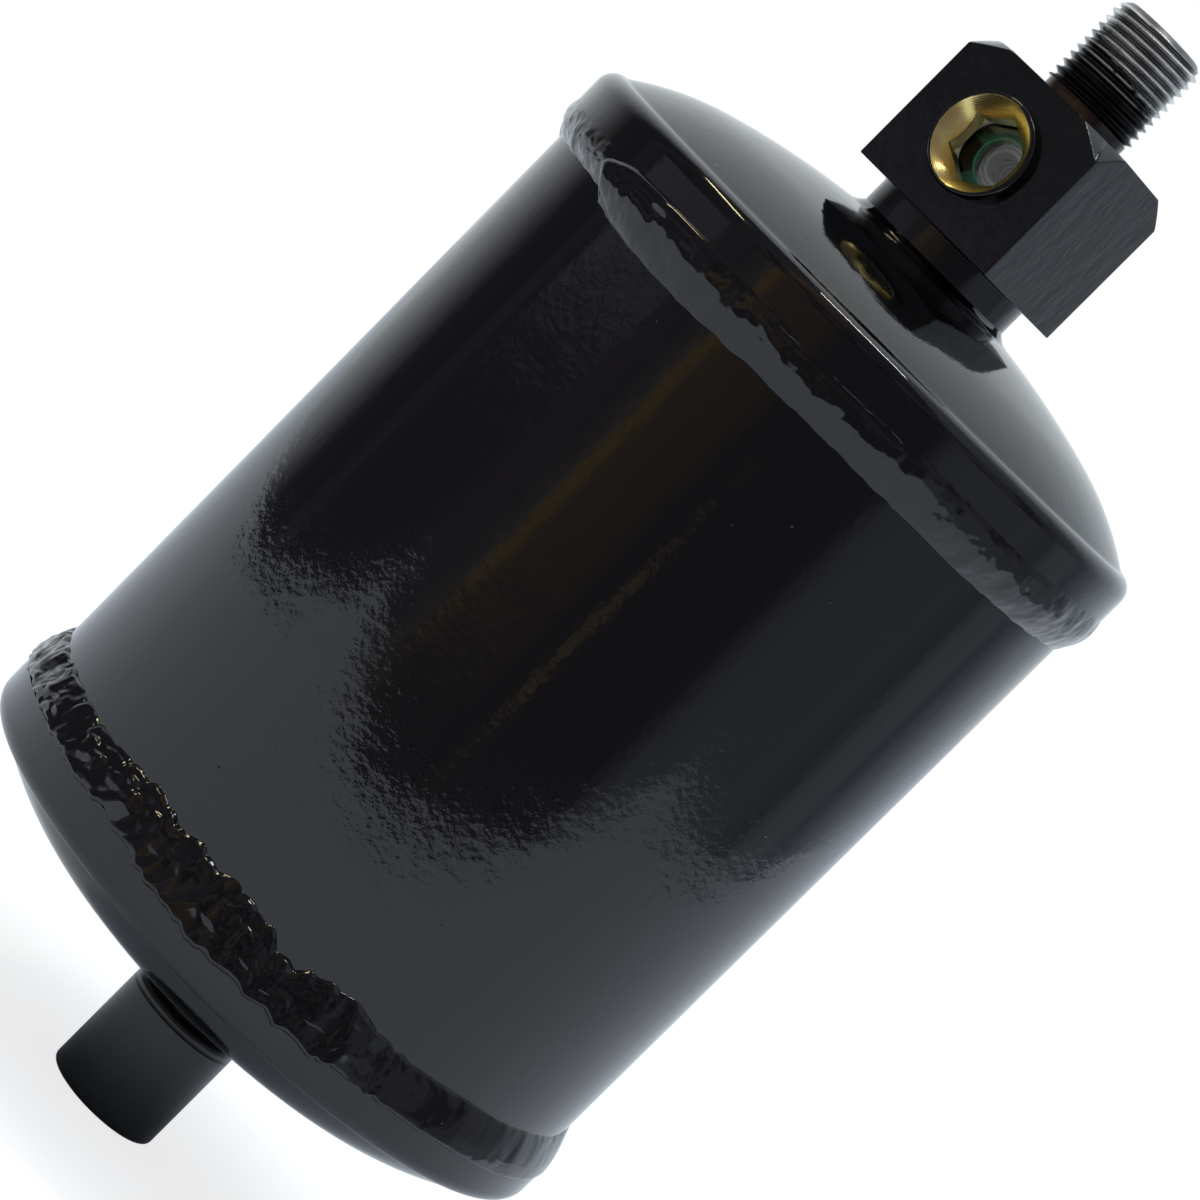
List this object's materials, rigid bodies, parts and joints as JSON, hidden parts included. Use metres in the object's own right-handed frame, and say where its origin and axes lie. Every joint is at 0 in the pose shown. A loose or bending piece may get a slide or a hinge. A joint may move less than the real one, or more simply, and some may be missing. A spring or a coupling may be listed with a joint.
{
  "type": "receiver drier",
  "caption": "Welded steel receiver drier canister with domed caps, a square head with a sight glass and a threaded stem, and a round tapped stub.",
  "frame": {"origin": "on the axis at the end of the lower stub", "axes": "+Z along the can's axis towards the threaded stem, -Y out of the sight glass"},
  "size_m": [0.106, 0.1062, 0.2176],
  "materials": {
    "black_enamel": "gloss black enamel over a spattered, welded steel can",
    "head_enamel": "satin black enamel on sawn and turned steel",
    "stub_enamel": "satin black enamel",
    "bare_steel": "cut thread, bare at the tip and oversprayed black below",
    "brass": "turned brass, oversprayed black outside",
    "white_plastic": "smooth white slip washer",
    "lens_glass": "clear polished glass",
    "green_rubber": "smooth dark green rubber",
    "plated_steel": "zinc plated sheet",
    "felt": "pressed felt",
    "desiccant": "packed molecular sieve beads",
    "spring_steel": "drawn spring wire"
  },
  "bodies": {
    "root": {"shell_tube": "black_enamel", "top_cap": "black_enamel", "bottom_cap": "black_enamel", "top_weld_bead": "black_enamel", "bottom_weld_bead": "black_enamel", "head_fitting": "head_enamel", "neck_braze_ring": "black_enamel", "bottom_fitting": "stub_enamel", "stub_braze_ring": "black_enamel", "sight_glass_plug": "brass", "sight_glass_washer": "white_plastic", "sight_glass_lens": "lens_glass", "sight_glass_seal": "green_rubber", "outlet_screen": "plated_steel", "outlet_plate": "plated_steel", "outlet_pad": "felt", "desiccant_bed": "desiccant", "inlet_pad": "felt", "inlet_plate": "plated_steel", "bed_spring": "spring_steel"}
  },
  "joints": []
}
